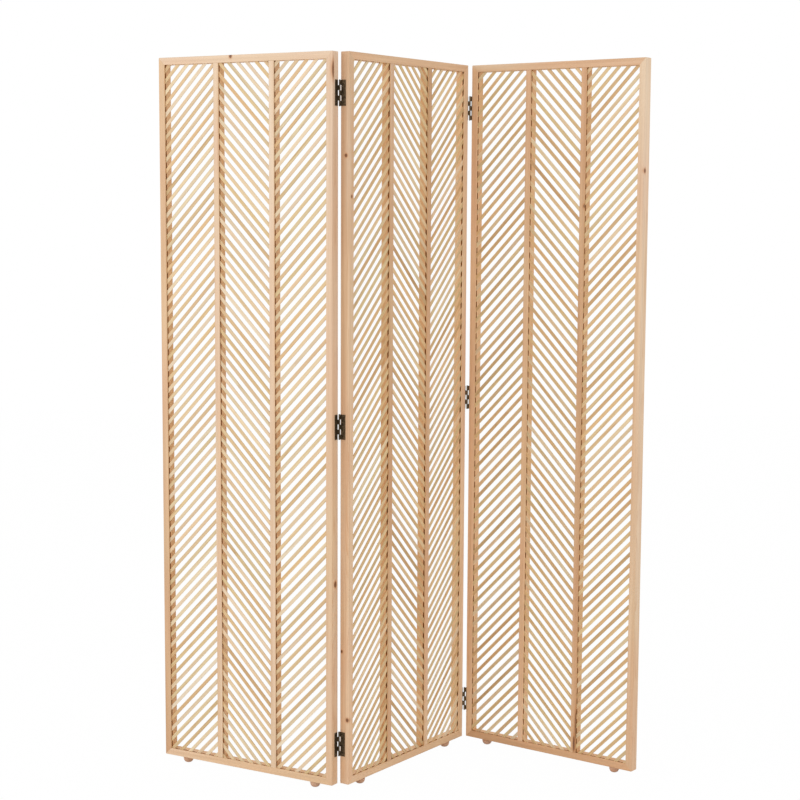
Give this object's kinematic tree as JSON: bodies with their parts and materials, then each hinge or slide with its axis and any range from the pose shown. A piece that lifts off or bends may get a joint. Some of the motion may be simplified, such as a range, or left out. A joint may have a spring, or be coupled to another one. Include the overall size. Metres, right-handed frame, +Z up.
{
  "type": "folding slatted room divider",
  "caption": "Three-panel folding wooden room divider: mitred frames with two mullions each, filled with diagonal slats in a chevron pattern, joined by butt hinges, on small round feet.",
  "frame": {"origin": "on the floor, under the middle of the bounding box of the divider standing in its zigzag", "axes": "+Z up; +X to the right and +Y away from a viewer in front, along the view of the picture; the middle panel runs 55.8 degrees round from +X"},
  "size_m": [1.2162, 0.4576, 1.802],
  "materials": {
    "frame_pine": "pale natural pine, fine straight grain with small knots, matt clear finish, warm peach to straw variation",
    "slat_pine": "pale natural pine strips, grain along each slat, tone changes from slat to slat, matt",
    "foot_wood": "turned wood, slightly darker and pinker than the frame, satin",
    "bronze": "dark antique bronze plating, satin, lighter where the light grazes it"
  },
  "bodies": {
    "left_panel": {"left_panel_left_stile": "frame_pine", "left_panel_right_stile": "frame_pine", "left_panel_top_rail": "frame_pine", "left_panel_bottom_rail": "frame_pine", "left_panel_left_mullion": "frame_pine", "left_panel_right_mullion": "frame_pine", "left_panel_left_slats": "slat_pine", "left_panel_centre_slats": "slat_pine", "left_panel_right_slats": "slat_pine", "left_panel_left_foot": "foot_wood", "left_panel_right_foot": "foot_wood", "left_joint_top_hinge_left_leaf": "bronze", "left_joint_middle_hinge_left_leaf": "bronze", "left_joint_bottom_hinge_left_leaf": "bronze"},
    "middle_panel": {"middle_panel_left_stile": "frame_pine", "middle_panel_right_stile": "frame_pine", "middle_panel_top_rail": "frame_pine", "middle_panel_bottom_rail": "frame_pine", "middle_panel_left_mullion": "frame_pine", "middle_panel_right_mullion": "frame_pine", "middle_panel_left_slats": "slat_pine", "middle_panel_centre_slats": "slat_pine", "middle_panel_right_slats": "slat_pine", "middle_panel_left_foot": "foot_wood", "middle_panel_right_foot": "foot_wood", "left_joint_top_hinge_right_leaf": "bronze", "left_joint_top_hinge_pin": "bronze", "left_joint_middle_hinge_right_leaf": "bronze", "left_joint_middle_hinge_pin": "bronze", "left_joint_bottom_hinge_right_leaf": "bronze", "left_joint_bottom_hinge_pin": "bronze", "right_joint_top_hinge_left_leaf": "bronze", "right_joint_middle_hinge_left_leaf": "bronze", "right_joint_bottom_hinge_left_leaf": "bronze"},
    "right_panel": {"right_panel_left_stile": "frame_pine", "right_panel_right_stile": "frame_pine", "right_panel_top_rail": "frame_pine", "right_panel_bottom_rail": "frame_pine", "right_panel_left_mullion": "frame_pine", "right_panel_right_mullion": "frame_pine", "right_panel_left_slats": "slat_pine", "right_panel_centre_slats": "slat_pine", "right_panel_right_slats": "slat_pine", "right_panel_left_foot": "foot_wood", "right_panel_right_foot": "foot_wood", "right_joint_top_hinge_right_leaf": "bronze", "right_joint_top_hinge_pin": "bronze", "right_joint_middle_hinge_right_leaf": "bronze", "right_joint_middle_hinge_pin": "bronze", "right_joint_bottom_hinge_right_leaf": "bronze", "right_joint_bottom_hinge_pin": "bronze"}
  },
  "joints": [
    {"name": "left_fold", "type": "hinge", "parent": "middle_panel", "child": "left_panel", "pos_m": [-0.14506, -0.20826, 0.908], "axis": [0, 0, 1], "range_deg": [-94.2, 85.8]},
    {"name": "right_fold", "type": "hinge", "parent": "middle_panel", "child": "right_panel", "pos_m": [0.17381, 0.20811, 0.908], "axis": [0, 0, 1], "range_deg": [-87.6, 92.4]}
  ]
}
